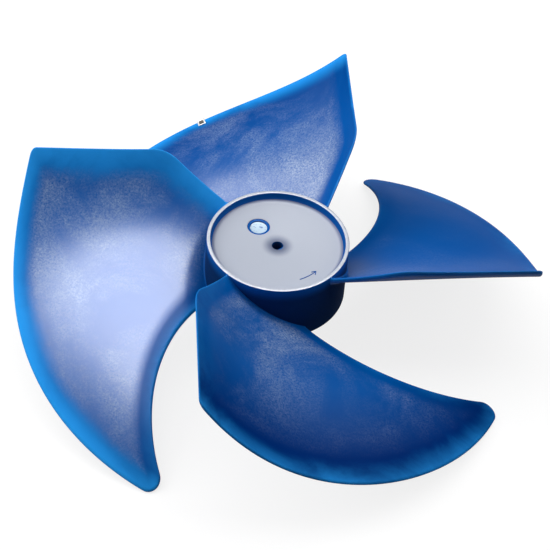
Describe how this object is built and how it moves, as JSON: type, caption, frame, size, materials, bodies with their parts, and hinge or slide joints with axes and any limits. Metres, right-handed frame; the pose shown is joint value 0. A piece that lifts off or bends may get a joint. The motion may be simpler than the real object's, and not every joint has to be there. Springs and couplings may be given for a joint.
{
  "type": "axial fan blade",
  "caption": "One-piece moulded axial fan with wide swept and twisted blades around a cup hub with a D-shaped shaft bore, and a steel balance clip on one blade tip.",
  "frame": {"origin": "on the shaft axis, at the rear end of the shaft boss", "axes": "+Z along the shaft axis towards the front, the side with the recessed hub face; -Y along the datum line of one blade"},
  "size_m": [0.365, 0.365, 0.1159],
  "materials": {
    "blue_plastic": "satin",
    "spring_steel": "satin"
  },
  "bodies": {
    "root": {"fan_moulding": "blue_plastic", "balance_clip": "spring_steel"}
  },
  "joints": []
}
